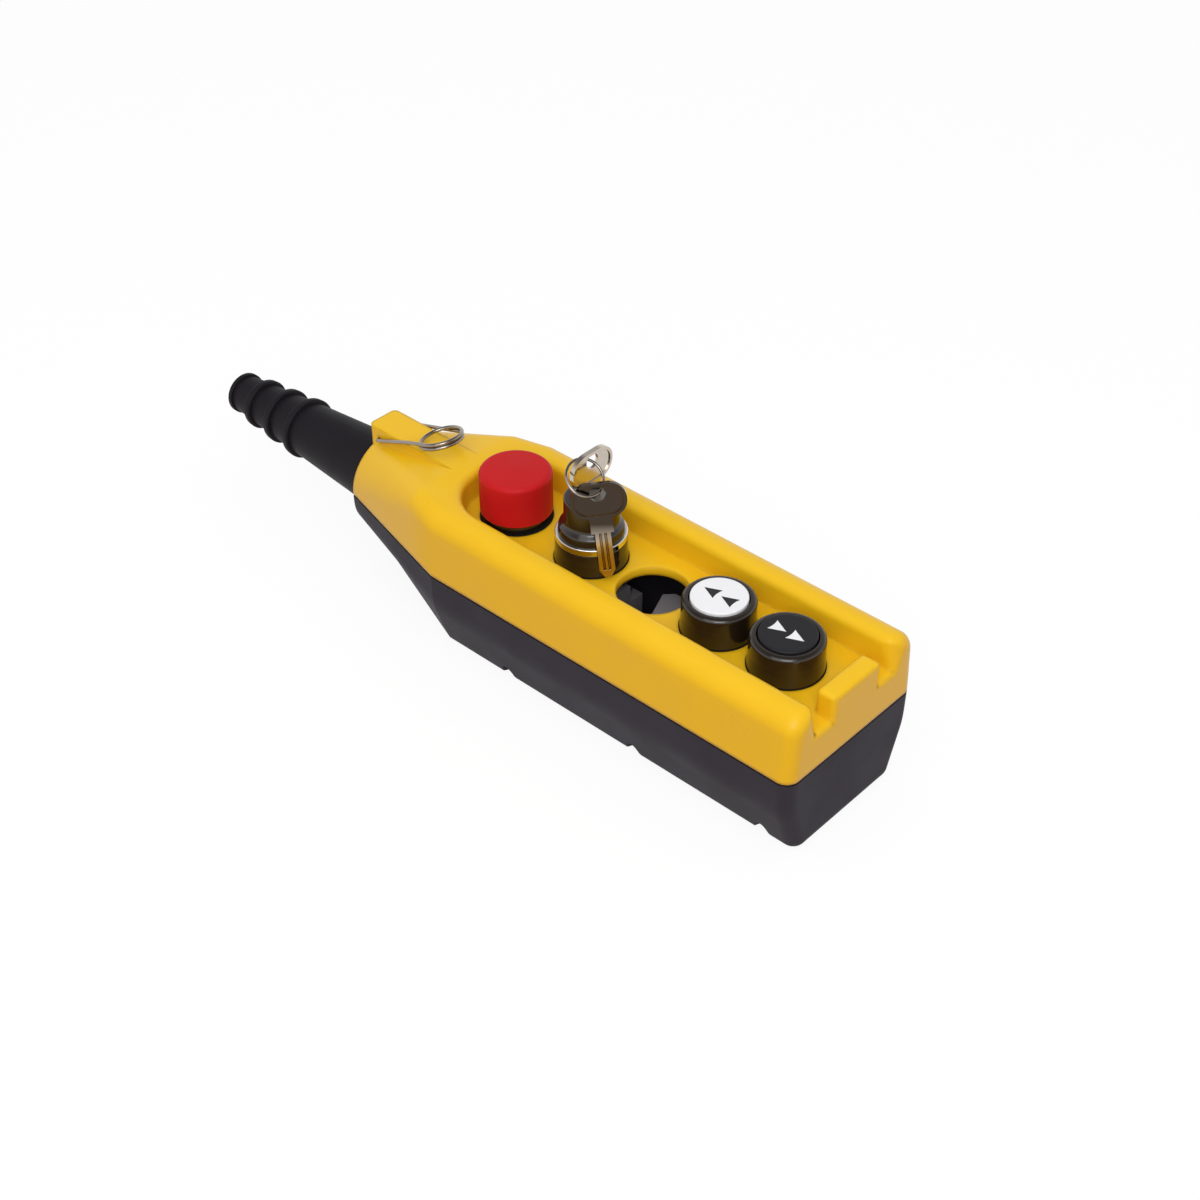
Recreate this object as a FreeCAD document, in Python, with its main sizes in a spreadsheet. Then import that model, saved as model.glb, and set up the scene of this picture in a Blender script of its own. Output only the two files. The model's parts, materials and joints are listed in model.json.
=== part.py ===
import FreeCAD, Part
import math
import os
import re
import Sketcher

# Crane pendant control lying on its back.
# +X runs from the cable sleeve to the blunt end, +Z is up through the buttons,
# and the origin is under the middle of the whole length.

Vector = FreeCAD.Vector
TOUCH = 0.01
SPRING_PLEATS = 5
EIGHTH = round(math.tan(math.pi / 8), 4)

SIZES = {
    # Case
    "case_width": 78.8,
    "base_depth": 41.0,
    "cover_rise": 30.3,
    "cover_draft": 2.0,
    "crest_round": 9.0,
    "corner_round": 6.0,
    "wall": 3.0,
    "seam_gap": 1.0,
    "seal_inset": 0.5,
    "seal_band": 2.1,
    # Stations along the case
    "end_to_down": 33.6,
    "pitch": 33.8,
    "stop_pitch": 42.8,
    "stop_to_knuckle": 12.7,
    "nose_length": 68.3,
    "bend_reach": 17.0,
    "rim_radius": 21.5,
    "rim_wall": 3.5,
    # Back of the rear housing
    "hip_draft": 0.5,
    "hip_height": 25.5,
    "hip_round": 30.0,
    "foot_half": 29.9,
    "foot_round": 6.0,
    "nose_lift": 19.2,
    "nose_hip": 12.9,
    "nose_foot": 9.5,
    "nose_round": 15.0,
    # Operator tray
    "rail_width": 15.7,
    "tray_end": 21.7,
    "tray_floor": 17.3,
    "tray_thickness": 4.0,
    "rail_round": 3.6,
    "strip_half": 14.4,
    "strip_back": 9.0,
    "strip_drop": 1.8,
    "strip_round": 2.0,
    # Hanger boss and wire
    "boss_half": 7.8,
    "boss_over": 1.6,
    "boss_low": 19.5,
    "boss_round": 2.5,
    "eye_back": 4.6,
    "eye_drop": 5.4,
    "wire_radius": 0.85,
    "wire_play": 0.08,
    "leg_length": 33.5,
    "leg_bend": 1.4,
    "leg_clear": 0.2,
    "leg_angle": 17.5,
    # Case screws
    "screw_side": 28.0,
    "screw_near": 17.0,
    "screw_pitch_end": 66.6,
    "screw_pitch_nose": 70.7,
    "screw_radius": 2.0,
    "screw_head": 3.6,
    "screw_head_height": 2.6,
    "screw_bite": 11.0,
    "screw_play": 0.05,
    "screw_pocket": 4.6,
    "pocket_depth": 9.0,
    "cup_wall": 2.1,
    "post_radius": 5.2,
    "nose_flat": 0.6,
    "floor_round": 2.4,
    # Cable sleeve and clamp
    "sleeve_reach": 101.7,
    "sleeve_root": 16.7,
    "tip_radius": 9.8,
    "tip_lip": 2.6,
    "tip_neck": 8.8,
    "lip_round": 0.9,
    "rib_first": 0.318,
    "rib_share": 0.3,
    "rib_width": 3.8,
    "rib_height": 1.9,
    "cone_share": 0.495,
    "cone_tip": 12.9,
    "cable_bore": 6.5,
    "flange_width": 3.5,
    "clamp_width": 9.0,
    "clamp_plate": 2.5,
    "eye_gap": 2.0,
    "sleeve_flange": 18.7,
    "flange_play": 0.4,
    "clamp_back": 24.0,
    "clamp_side": 12.7,
    "clamp_post": 3.4,
    "clamp_screw": 1.5,
    "clamp_bite": 9.0,
    # Operator heads
    "shank_radius": 11.0,
    "shank_depth": 15.3,
    "shank_bore": 9.0,
    "head_radius": 15.0,
    "head_flare": 0.4,
    "head_seal": 0.5,
    "hole_radius": 15.25,
    "spigot_radius": 15.1,
    "spigot_gap": 0.4,
    "groove_radius": 13.0,
    "ring_radius": 15.7,
    "nut_radius": 16.6,
    "nut_height": 4.0,
    "nut_notch": 1.6,
    "nut_play": 0.05,
    "guide_height": 2.0,
    # Push buttons
    "collar_height": 14.6,
    "collar_round": 1.8,
    "cap_radius": 11.6,
    "cap_play": 0.6,
    "cap_proud": 1.0,
    "cap_depth": 4.0,
    "cap_round": 0.6,
    "stem_radius": 3.0,
    "stem_play": 0.05,
    "plunger_reach": 3.0,
    "spring_radius": 6.3,
    "spring_wave": 0.8,
    "spring_wall": 0.5,
    # Stop button
    "neck_radius": 13.9,
    "neck_height": 9.5,
    "mushroom_radius": 15.5,
    "mushroom_low": 4.3,
    "mushroom_top": 24.0,
    "mushroom_crown": 4.0,
    "mushroom_skirt": 1.4,
    "mushroom_dome": 0.6,
    "mushroom_round": 2.4,
    "post_stem": 5.0,
    "flange_low": 15.0,
    "flange_radius": 8.4,
    # Key switch
    "key_collar_height": 10.65,
    "bezel_height": 3.2,
    "bezel_round": 0.5,
    "barrel_tail": 9.4,
    "barrel_waist": 11.4,
    "barrel_flare": 13.9,
    "barrel_neck": 11.4,
    "barrel_band": 3.4,
    "band_draft": 0.5,
    "band_round": 1.4,
    "barrel_step": 5.4,
    "barrel_sweep": 2.5,
    "barrel_radius": 11.2,
    "barrel_top": 30.2,
    "barrel_round": 0.8,
    "rotor_radius": 7.0,
    "rotor_sink": 0.3,
    "key_play": 0.1,
    "key_thick": 2.2,
    "key_neck": 6.8,
    "bow_half": 11.4,
    "bow_height": 15.0,
    "bow_flat": 7.0,
    "bow_cheek": 4.3,
    "bow_round": 7.8,
    "cheek_round": 6.9,
    "bow_rim": 1.3,
    "bow_sink": 0.5,
    "hole_up": 2.9,
    "key_hole": 3.3,
    "blade_length": 25.85,
    "shoulder_half": 4.6,
    "shoulder_drop": 6.4,
    "blade_half": 3.2,
    "blade_tip": 1.2,
    "groove_near": 0.5,
    "groove_far": 1.6,
    "groove_depth": 0.5,
    "spare_out": 10.8,
    "spare_side": 1.97,
    "spare_drop": 8.35,
    "spare_yaw_angle": -44.5,
    "spare_lean_angle": 12.7,
    "spare_tip_angle": 6.3,
    "split_ring": 8.0,
    "ring_tilt_angle": -15.0,
    "split_wire": 0.6,
    # Contact blocks
    "block_length": 25.0,
    "block_half": 18.0,
    "block_neck": 10.5,
    "block_step": 8.0,
    "block_well": 4.6,
    "terminal_along": 6.5,
    "terminal_side": 14.2,
    "terminal_radius": 1.5,
    "terminal_head": 2.7,
    "terminal_bite": 7.0,
    "strip_reach": 8.0,
    "strip_notch": 5.0,
    "strip_side": 19.3,
    "strip_cut": 3.8,
    "strip_slot": 3.2,
    "strip_length": 25.4,
}


doc = FreeCAD.newDocument("crane_pendant_control")
size = doc.addObject("Spreadsheet::Sheet", "size")
place = doc.addObject("App::VarSet", "place")
holder = {}
nodes = {}


def full(text):
    """Write each size or place in an expression with the object that holds it."""
    return re.sub(r"[a-z]\w*", lambda word: holder.get(word[0], "") + word[0], str(text))


def value(text):
    """Work out an expression of sizes and places."""
    return float(place.evalExpression(full(text)))


def bind(item, name, text):
    """Tie a property to an expression of sizes and places."""
    item.setExpression(name, full(text))


def fill_sheet():
    """Put every driving size in the sheet, one alias to a row."""
    for row, (name, number) in enumerate(SIZES.items(), start=1):
        size.set(f"A{row}", name)
        size.set(f"B{row}", str(number))
        size.setAlias(f"B{row}", name)
        holder[name] = "size."
    doc.recompute()


def settle(**places):
    """Add places that follow from the sizes."""
    for name, text in places.items():
        place.addProperty("App::PropertyFloat", name)
        bind(place, name, text)
        holder[name] = "place."
        doc.recompute()


def new_body(label, x="0", y="0", z="0"):
    """Start one piece of the pendant, with its own origin at a bound place."""
    body = doc.addObject("PartDesign::Body", label)
    body.Label = label
    bind(body, "Placement.Base.x", x)
    bind(body, "Placement.Base.y", y)
    bind(body, "Placement.Base.z", z)
    return body


def new_sketch(body, role, offset="0"):
    """Start a sketch on an origin plane of its body, shifted along the plane's normal."""
    sketch = body.newObject("Sketcher::SketchObject", body.Label + "_sketch")
    base = [item for item in body.Origin.OriginFeatures if item.Role == role]
    sketch.AttachmentSupport = (base[0], [""])
    sketch.MapMode = "FlatFace"
    bind(sketch, "AttachmentOffset.Base.z", offset)
    return sketch


def bound_constraint(sketch, text, *parts):
    """Add one dimension to a sketch and tie it to an expression."""
    index = sketch.addConstraint(Sketcher.Constraint(*parts, value(text)))
    bind(sketch, f"Constraints[{index}]", text)


def pin(sketch, element, end, x, y):
    """Fix a point of a sketch at bound coordinates."""
    bound_constraint(sketch, x, "DistanceX", -1, 1, element, end)
    bound_constraint(sketch, y, "DistanceY", -1, 1, element, end)


def outline(sketch, corners):
    """Draw a closed outline through bound corners (x, y) or (x, y, round)."""
    count = len(corners)
    points = [Vector(value(corner[0]), value(corner[1]), 0) for corner in corners]
    leave = []
    enter = []
    arcs = []
    for index, corner in enumerate(corners):
        point = points[index]
        back = (points[index - 1] - point).normalize()
        ahead = (points[(index + 1) % count] - point).normalize()
        if len(corner) == 2:
            enter.append(point)
            leave.append(point)
            arcs.append(None)
            continue
        radius = value(corner[2])
        half_angle = back.getAngle(ahead) / 2
        reach = radius / math.tan(half_angle)
        middle = point + (back + ahead).normalize() * (radius / math.sin(half_angle))
        left_turn = back.cross(ahead).z < 0
        enter.append(point + back * reach)
        leave.append(point + ahead * reach)
        arcs.append((middle, radius, left_turn))
    lines = []
    for index in range(count):
        segment = Part.LineSegment(leave[index], enter[(index + 1) % count])
        lines.append(sketch.addGeometry(segment))
    for index, corner in enumerate(corners):
        before = lines[index - 1]
        after = lines[index]
        if arcs[index] is None:
            sketch.addConstraint(Sketcher.Constraint("Coincident", before, 2, after, 1))
            pin(sketch, after, 1, corner[0], corner[1])
            continue
        middle, radius, left_turn = arcs[index]
        first, last = (enter[index], leave[index]) if left_turn else (leave[index], enter[index])
        start = math.atan2(first.y - middle.y, first.x - middle.x)
        stop = math.atan2(last.y - middle.y, last.x - middle.x)
        circle = Part.Circle(middle, Vector(0, 0, 1), radius)
        arc = sketch.addGeometry(Part.ArcOfCircle(circle, start, stop))
        mark = sketch.addGeometry(Part.Point(points[index]), True)
        near, far = (1, 2) if left_turn else (2, 1)
        pin(sketch, mark, 1, corner[0], corner[1])
        sketch.addConstraint(Sketcher.Constraint("PointOnObject", mark, 1, before))
        sketch.addConstraint(Sketcher.Constraint("PointOnObject", mark, 1, after))
        sketch.addConstraint(Sketcher.Constraint("Tangent", before, 2, arc, near))
        sketch.addConstraint(Sketcher.Constraint("Tangent", after, 1, arc, far))
        bound_constraint(sketch, corner[2], "Radius", arc)


def circle(sketch, x, y, radius):
    """Draw a bound circle."""
    middle = Vector(value(x), value(y), 0)
    element = sketch.addGeometry(Part.Circle(middle, Vector(0, 0, 1), value(radius)))
    pin(sketch, element, 3, x, y)
    bound_constraint(sketch, radius, "Radius", element)


def mirrored(half):
    """Complete a section about its middle line from its right-hand corners."""
    return half + [("-(" + corner[0] + ")",) + tuple(corner[1:]) for corner in reversed(half)]


def feature(body, kind, sketch, length=None, flip=False):
    """Add a pad, pocket, revolution or loft of a sketch to its body."""
    item = body.newObject("PartDesign::" + kind, body.Label + "_" + kind.lower())
    item.Profile = sketch
    if length is not None:
        bind(item, "Length", length)
    item.Reversed = flip
    doc.recompute()
    return item


def loft(body, kind, sketches):
    """Join sections with straight walls, adding to or cutting from the body."""
    item = body.newObject("PartDesign::" + kind, body.Label + "_" + kind.lower())
    item.Profile = sketches[0]
    item.Sections = sketches[1:]
    item.Ruled = True
    doc.recompute()
    return item


def rounded(body, radius, chosen):
    """Round the edges of a body that a test picks out."""
    base = body.Tip
    names = [f"Edge{index}" for index, edge in enumerate(base.Shape.Edges, start=1) if chosen(edge)]
    item = body.newObject("PartDesign::Fillet", body.Label + "_fillet")
    item.Base = (base, names)
    bind(item, "Radius", radius)
    doc.recompute()
    return item


def level(edge, height):
    """Tell whether an edge lies flat at a height."""
    return abs(edge.BoundBox.ZMin - height) < TOUCH and edge.BoundBox.ZLength < TOUCH


def turned(label, profile, x="0", y="0", z="0"):
    """Turn a piece about its own upright axis from (radius, height) corners."""
    body = new_body(label, x, y, z)
    sketch = new_sketch(body, "XZ_Plane")
    outline(sketch, profile)
    item = feature(body, "Revolution", sketch)
    item.ReferenceAxis = (sketch, ["V_Axis"])
    doc.recompute()
    return body


fill_sheet()
settle(
    half_width="case_width / 2",
    tray_half="half_width - rail_width",
    hip_half="half_width - hip_draft",
    cone_start="sleeve_reach * cone_share",
    first_rib="cone_start * rib_first",
    rib_pitch="cone_start * rib_share",
    body_length="end_to_down + 3 * pitch + stop_pitch + stop_to_knuckle",
    end_x="(body_length + nose_length + sleeve_reach) / 2",
    knuckle_x="end_x - body_length",
    bend_x="knuckle_x - bend_reach",
    rim_x="knuckle_x - nose_length",
    down_x="end_x - end_to_down",
    up_x="down_x - pitch",
    open_x="up_x - pitch",
    key_x="open_x - pitch",
    stop_x="key_x - stop_pitch",
    bend_half="half_width - (half_width - rim_radius) * bend_reach / nose_length",
    seam_low="base_depth - seam_gap / 2",
    seam_high="base_depth + seam_gap / 2",
    crest_z="base_depth + cover_rise",
    floor_z="base_depth + tray_floor",
    ceiling_z="base_depth + tray_floor - tray_thickness",
    eye_x="knuckle_x - nose_length + eye_back",
    eye_z="crest_z - eye_drop",
    ring_half="boss_half + leg_clear + leg_bend",
    block_height="base_depth + tray_floor - shank_depth - wall",
    flange_space="sleeve_flange + flange_play",
    clamp_x="rim_x + clamp_back",
)
STATIONS = ["stop_x", "key_x", "open_x", "up_x", "down_x"]
HEADS = ["stop_x", "key_x", "up_x", "down_x"]
SCREWS = [
    (x, y)
    for x in ("end_x - screw_near",
              "end_x - screw_near - screw_pitch_end",
              "end_x - screw_near - screw_pitch_end - screw_pitch_nose")
    for y in ("screw_side", "-screw_side")
]


def cover_section(half, top, rounding=None):
    """Give the cover's outer section: drafted sides and a flat crest."""
    crest = (f"{half} - cover_draft", top, rounding) if rounding else (f"{half} - cover_draft", top)
    return mirrored([(half, "seam_high"), crest])


def nose_arch(radius, low):
    """Give the arch of the nose's end, which closes over the sleeve."""
    return mirrored([(radius, low), (radius, f"base_depth + {radius}", f"{radius} - nose_flat")])


def drill_posts(body, radius, low, depth):
    """Leave or cut a round column at each case screw."""
    sketch = new_sketch(body, "XY_Plane", low)
    for x, y in SCREWS:
        circle(sketch, x, y, radius)
    return feature(body, "Pocket", sketch, depth, flip=True)


def build_cover_core():
    """Make the space inside the cover: below the tray, in the two rails and in the nose."""
    body = new_body("front_core")
    low = "base_depth - wall"
    inner = "half_width - wall"
    section = new_sketch(body, "YZ_Plane", "knuckle_x")
    outline(section, mirrored([(inner, low), (f"{inner} - cover_draft / 2", "ceiling_z")]))
    feature(body, "Pad", section, "end_x - wall - knuckle_x")
    end = value("end_x - wall") - TOUCH
    rounded(body, "corner_round - wall",
            lambda edge: edge.BoundBox.XMin > end and edge.BoundBox.ZLength > TOUCH)
    rails = new_sketch(body, "YZ_Plane", "stop_x")
    for side in ("", "-"):
        outline(rails, [
            (f"{side}(tray_half + wall)", "ceiling_z - wall"),
            (f"{side}({inner} - cover_draft)", "ceiling_z - wall"),
            (f"{side}({inner} - cover_draft)", "crest_z - wall", "crest_round - wall"),
            (f"{side}(tray_half + wall)", "crest_z - wall"),
        ])
    feature(body, "Pad", rails, "end_x - stop_x - crest_round - wall")
    front = new_sketch(body, "YZ_Plane", "knuckle_x")
    outline(front, mirrored([(inner, low), (f"{inner} - cover_draft / 2", "ceiling_z", "wall")]))
    back = new_sketch(body, "YZ_Plane", "rim_x + rim_wall")
    outline(back, nose_arch("flange_space", low))
    loft(body, "AdditiveLoft", [front, back])
    drill_posts(body, "post_radius", "base_depth - wall", "cover_rise + wall")
    return body


def build_cover():
    """Make the yellow cover: rails, open tray, end strip, hanger boss and sloping nose."""
    body = new_body("front_shell")
    section = new_sketch(body, "YZ_Plane", "knuckle_x")
    outline(section, cover_section("half_width", "crest_z"))
    feature(body, "Pad", section, "body_length")
    end = value("end_x") - TOUCH
    crest = value("crest_z") - TOUCH
    seam = value("seam_high") + TOUCH
    rounded(body, "crest_round", lambda edge: edge.BoundBox.ZMin > crest and edge.BoundBox.XLength > TOUCH)
    rounded(body, "corner_round", lambda edge: edge.BoundBox.XMin > end and edge.BoundBox.ZMax > seam)
    sections = []
    for x, corners in (
        ("knuckle_x", cover_section("half_width", "crest_z", "crest_round")),
        ("bend_x", cover_section("bend_half", "crest_z", "crest_round")),
        ("rim_x", nose_arch("rim_radius", "seam_high")),
    ):
        sketch = new_sketch(body, "YZ_Plane", x)
        outline(sketch, corners)
        sections.append(sketch)
    loft(body, "AdditiveLoft", sections)
    boss = new_sketch(body, "XY_Plane", "base_depth + boss_low")
    outline(boss, [
        ("bend_x", "-boss_half"),
        ("bend_x", "boss_half"),
        ("rim_x - boss_over", "boss_half", "boss_round"),
        ("rim_x - boss_over", "-boss_half", "boss_round"),
    ])
    feature(body, "Pad", boss, "cover_rise - boss_low")
    tray = new_sketch(body, "XY_Plane", "floor_z")
    outline(tray, [
        ("end_x + corner_round", "-tray_half"),
        ("end_x + corner_round", "tray_half"),
        ("stop_x - tray_end", "tray_half", "tray_half - nose_flat"),
        ("stop_x - tray_end", "-tray_half", "tray_half - nose_flat"),
    ])
    feature(body, "Pocket", tray, "cover_rise", flip=True)
    return body


def tray_edge(edge):
    """Tell whether an edge is on the tray's upper rim."""
    reach = value("tray_half")
    middle = value("stop_x - tray_end + tray_half")
    for share in (0.0, 0.5, 1.0):
        first, last = edge.ParameterRange
        point = edge.valueAt(first + share * (last - first))
        across = abs(point.y) if point.x > middle else math.hypot(point.x - middle, point.y)
        if abs(across - reach) > value("nose_flat") or point.z < value("crest_z") - TOUCH:
            return False
    return True


def finish_cover(body):
    """Round the rails and add the end strip, the operator holes, the pilot holes and the hanger eye."""
    end = value("end_x") - TOUCH
    floor = value("floor_z")
    rounded(body, "rail_round", tray_edge)
    strip = new_sketch(body, "XY_Plane", "floor_z")
    outline(strip, [
        ("end_x", "-strip_half"),
        ("end_x", "strip_half"),
        ("end_x - strip_back", "strip_half", "strip_round"),
        ("end_x - strip_back", "-strip_half", "strip_round"),
    ])
    feature(body, "Pad", strip, "cover_rise - tray_floor - strip_drop")
    top = value("crest_z - strip_drop")
    back = value("end_x - strip_back") - TOUCH
    rounded(body, "strip_round", lambda edge: edge.BoundBox.XMin > back and level(edge, top))
    rounded(body, "floor_round", lambda edge: edge.BoundBox.XMin > end and level(edge, floor))
    holes = new_sketch(body, "XY_Plane", "floor_z")
    for x in STATIONS:
        circle(holes, x, "0", "hole_radius")
    feature(body, "Pocket", holes, "tray_floor")
    pilots = new_sketch(body, "XY_Plane", "base_depth")
    for x, y in SCREWS:
        circle(pilots, x, y, "screw_radius + screw_play")
    feature(body, "Pocket", pilots, "screw_bite + screw_radius", flip=True)
    throat = new_sketch(body, "YZ_Plane", "rim_x")
    circle(throat, "0", "base_depth", "sleeve_root + screw_play * 2")
    feature(body, "Pocket", throat, "rim_wall * 2", flip=True)
    eye = new_sketch(body, "XZ_Plane", "boss_half * 2")
    circle(eye, "eye_x", "eye_z", "wire_radius + wire_play")
    feature(body, "Pocket", eye, "boss_half * 4")


def base_section(foot_round=None):
    """Give the rear housing's outer section, wide at the seam and narrow at the back."""
    foot = ("foot_half", "0", foot_round) if foot_round else ("foot_half", "0")
    return mirrored([("half_width", "seam_low"), ("hip_half", "hip_height", "hip_round"), foot])


def build_base():
    """Make the rear housing's outside with its screw pockets."""
    body = new_body("rear_shell")
    section = new_sketch(body, "YZ_Plane", "knuckle_x")
    outline(section, base_section())
    feature(body, "Pad", section, "body_length")
    end = value("end_x") - TOUCH
    knuckle = value("knuckle_x") + TOUCH
    rounded(body, "corner_round", lambda edge: edge.BoundBox.XMin > end and edge.BoundBox.ZLength > TOUCH)
    rounded(body, "foot_round", lambda edge: edge.BoundBox.ZMax < TOUCH and edge.BoundBox.XMax > knuckle)
    front = new_sketch(body, "YZ_Plane", "knuckle_x")
    outline(front, base_section("foot_round"))
    back = new_sketch(body, "YZ_Plane", "rim_x")
    outline(back, mirrored([
        ("rim_radius", "seam_low"),
        ("rim_radius - nose_flat", "base_depth - nose_hip", "rim_radius - wall - nose_flat"),
        ("nose_foot", "nose_lift", "nose_round"),
    ]))
    loft(body, "AdditiveLoft", [front, back])
    pockets = new_sketch(body, "XY_Plane")
    for x, y in SCREWS:
        circle(pockets, x, y, "screw_pocket")
    feature(body, "Pocket", pockets, "pocket_depth", flip=True)
    shanks = new_sketch(body, "XY_Plane")
    for x, y in SCREWS:
        circle(shanks, x, y, "screw_radius + screw_play")
    feature(body, "Pocket", shanks, "base_depth", flip=True)
    throat = new_sketch(body, "YZ_Plane", "rim_x")
    circle(throat, "0", "base_depth", "sleeve_root + screw_play * 2")
    feature(body, "Pocket", throat, "rim_wall * 2", flip=True)
    pilots = new_sketch(body, "XY_Plane", "base_depth")
    for side in ("", "-"):
        circle(pilots, "clamp_x", f"{side}clamp_side", "clamp_screw + screw_play")
    feature(body, "Pocket", pilots, "clamp_bite + seam_gap")
    return body


def build_base_core():
    """Make the space inside the rear housing, with columns left standing for the screws."""
    body = new_body("rear_core")
    high = "base_depth + wall"
    inner = [
        ("half_width - wall", high),
        ("hip_half - wall", "hip_height", "hip_round - wall"),
        ("foot_half - wall", "wall", "foot_round - wall"),
    ]
    front = new_sketch(body, "YZ_Plane", "knuckle_x")
    outline(front, mirrored(inner))
    feature(body, "Pad", front, "body_length - wall")
    end = value("end_x - wall") - TOUCH
    hip = value("hip_height")
    rounded(body, "(corner_round - wall) / 2",
            lambda edge: edge.BoundBox.XMin > end and edge.BoundBox.ZMax > hip
            and edge.BoundBox.ZLength > TOUCH)
    start = new_sketch(body, "YZ_Plane", "knuckle_x")
    outline(start, mirrored(inner))
    back = new_sketch(body, "YZ_Plane", "rim_x + rim_wall")
    outline(back, mirrored([
        ("flange_space", high),
        ("flange_space - nose_flat", "base_depth - nose_hip", "flange_space * 0.7"),
        ("nose_foot - nose_flat", "base_depth - flange_space", "nose_round - wall"),
    ]))
    loft(body, "AdditiveLoft", [start, back])
    columns = new_sketch(body, "XY_Plane")
    for x, y in SCREWS:
        circle(columns, x, y, "post_radius")
    for side in ("", "-"):
        circle(columns, "clamp_x", f"{side}clamp_side", "clamp_post")
    feature(body, "Pocket", columns, "base_depth * 2", flip=True)
    cups = new_sketch(body, "XY_Plane")
    for x, y in SCREWS:
        circle(cups, x, y, "screw_pocket + cup_wall")
    feature(body, "Pocket", cups, "pocket_depth + wall", flip=True)
    return body


def hollowed(label, shell, core):
    """Cut the inside out of a shell."""
    item = doc.addObject("Part::Cut", label)
    item.Label = label
    item.Base = shell
    item.Tool = core
    doc.recompute()
    nodes[label] = item


def build_seal():
    """Make the thin seal between the two halves, open where the sleeve comes in."""
    body = new_body("housing_seal")
    sketch = new_sketch(body, "XY_Plane", "seam_low")
    inset = "seal_inset"
    inner = "seal_inset + seal_band"
    outside = [
        ("rim_x", f"rim_radius - {inset}"),
        ("knuckle_x", f"half_width - {inset}"),
        (f"end_x - {inset}", f"half_width - {inset}", f"corner_round - {inset}"),
    ]
    inside = [
        (f"end_x - ({inner})", f"half_width - ({inner})", f"corner_round - ({inner})"),
        ("knuckle_x", f"half_width - ({inner})"),
        ("rim_x", f"rim_radius - ({inner})"),
    ]
    lower = [(corner[0], f"-({corner[1]})") + corner[2:] for corner in outside]
    upper = [(corner[0], f"-({corner[1]})") + corner[2:] for corner in inside]
    outline(sketch, outside + lower[::-1] + upper[::-1] + inside)
    feature(body, "Pad", sketch, "seam_gap")
    nodes["housing_seal"] = body


cover = build_cover()
finish_cover(cover)
hollowed("front_cover", cover, build_cover_core())
hollowed("rear_housing", build_base(), build_base_core())
build_seal()
def grouped(label, pieces):
    """Keep several like pieces in one node."""
    item = doc.addObject("Part::Compound", label)
    item.Label = label
    item.Links = pieces
    nodes[label] = item


def build_case_screws():
    """Make the six screws that hold the halves together, heads down in their pockets."""
    pieces = []
    for index, (x, y) in enumerate(SCREWS, start=1):
        pieces.append(turned(f"case_screw_{index}", [
            ("0", "-screw_head_height"),
            ("screw_head", "-screw_head_height", "screw_head_height / 2"),
            ("screw_head", "0"),
            ("screw_radius", "0"),
            ("screw_radius", "base_depth - pocket_depth + screw_bite"),
            ("0", "base_depth - pocket_depth + screw_bite"),
        ], x, y, "pocket_depth"))
    grouped("case_screws", pieces)


def build_sleeve():
    """Turn the rubber sleeve about the cable's axis: ribbed tip, smooth cone, inner flange."""
    body = new_body("cable_sleeve", "-end_x", "0", "base_depth")
    sketch = new_sketch(body, "XZ_Plane")
    slope = "(cone_tip - tip_neck) / (cone_start - tip_lip)"
    corners = [
        ("0", "cable_bore"),
        ("0", "tip_radius", "lip_round"),
        ("tip_lip", "tip_radius"),
        ("tip_lip", "tip_neck"),
    ]
    for index in range(3):
        near = f"first_rib + {index} * rib_pitch - rib_width / 2"
        far = f"first_rib + {index} * rib_pitch + rib_width / 2"
        low = f"tip_neck + {slope} * ({near} - tip_lip)"
        high = f"tip_neck + {slope} * ({far} - tip_lip)"
        corners += [
            (near, low),
            (near, f"{low} + rib_height", "lip_round"),
            (far, f"{high} + rib_height", "lip_round"),
            (far, high),
        ]
    corners += [
        ("cone_start", "cone_tip"),
        ("sleeve_reach", "sleeve_root"),
        ("sleeve_reach + rim_wall + screw_play", "sleeve_root"),
        ("sleeve_reach + rim_wall + screw_play", "sleeve_flange"),
        ("sleeve_reach + rim_wall + flange_width", "sleeve_flange"),
        ("sleeve_reach + rim_wall + flange_width", "cable_bore"),
    ]
    outline(sketch, corners)
    item = feature(body, "Revolution", sketch)
    item.ReferenceAxis = (sketch, ["H_Axis"])
    doc.recompute()
    nodes["cable_sleeve"] = body


def build_clamp():
    """Make the saddle that grips the cable behind the sleeve, and its two screws."""
    body = new_body("cable_clamp", "clamp_x - clamp_width / 2", "0", "seam_low")
    sketch = new_sketch(body, "YZ_Plane")
    outline(sketch, mirrored([
        ("cable_bore", "0"),
        ("clamp_side + clamp_post", "0"),
        ("clamp_side + clamp_post", "clamp_plate"),
        ("cable_bore + clamp_plate", "clamp_plate"),
        ("cable_bore + clamp_plate", "cable_bore + clamp_plate", "cable_bore - nose_flat"),
    ]) + [
        ("-cable_bore", "cable_bore", "cable_bore - nose_flat"),
        ("cable_bore", "cable_bore", "cable_bore - nose_flat"),
    ])
    feature(body, "Pad", sketch, "clamp_width")
    holes = new_sketch(body, "XY_Plane")
    for side in ("", "-"):
        circle(holes, "clamp_width / 2", f"{side}clamp_side", "clamp_screw + screw_play")
    feature(body, "Pocket", holes, "clamp_plate * 2", flip=True)
    nodes["cable_clamp"] = body
    pieces = []
    for index, side in enumerate(("", "-"), start=1):
        pieces.append(turned(f"clamp_screw_{index}", [
            ("0", "-clamp_bite"),
            ("clamp_screw", "-clamp_bite"),
            ("clamp_screw", "0"),
            ("clamp_post", "0"),
            ("clamp_post", "clamp_screw", "clamp_screw / 2"),
            ("0", "clamp_screw"),
        ], "clamp_x", f"{side}clamp_side", "seam_low + clamp_plate"))
    grouped("clamp_screws", pieces)


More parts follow.
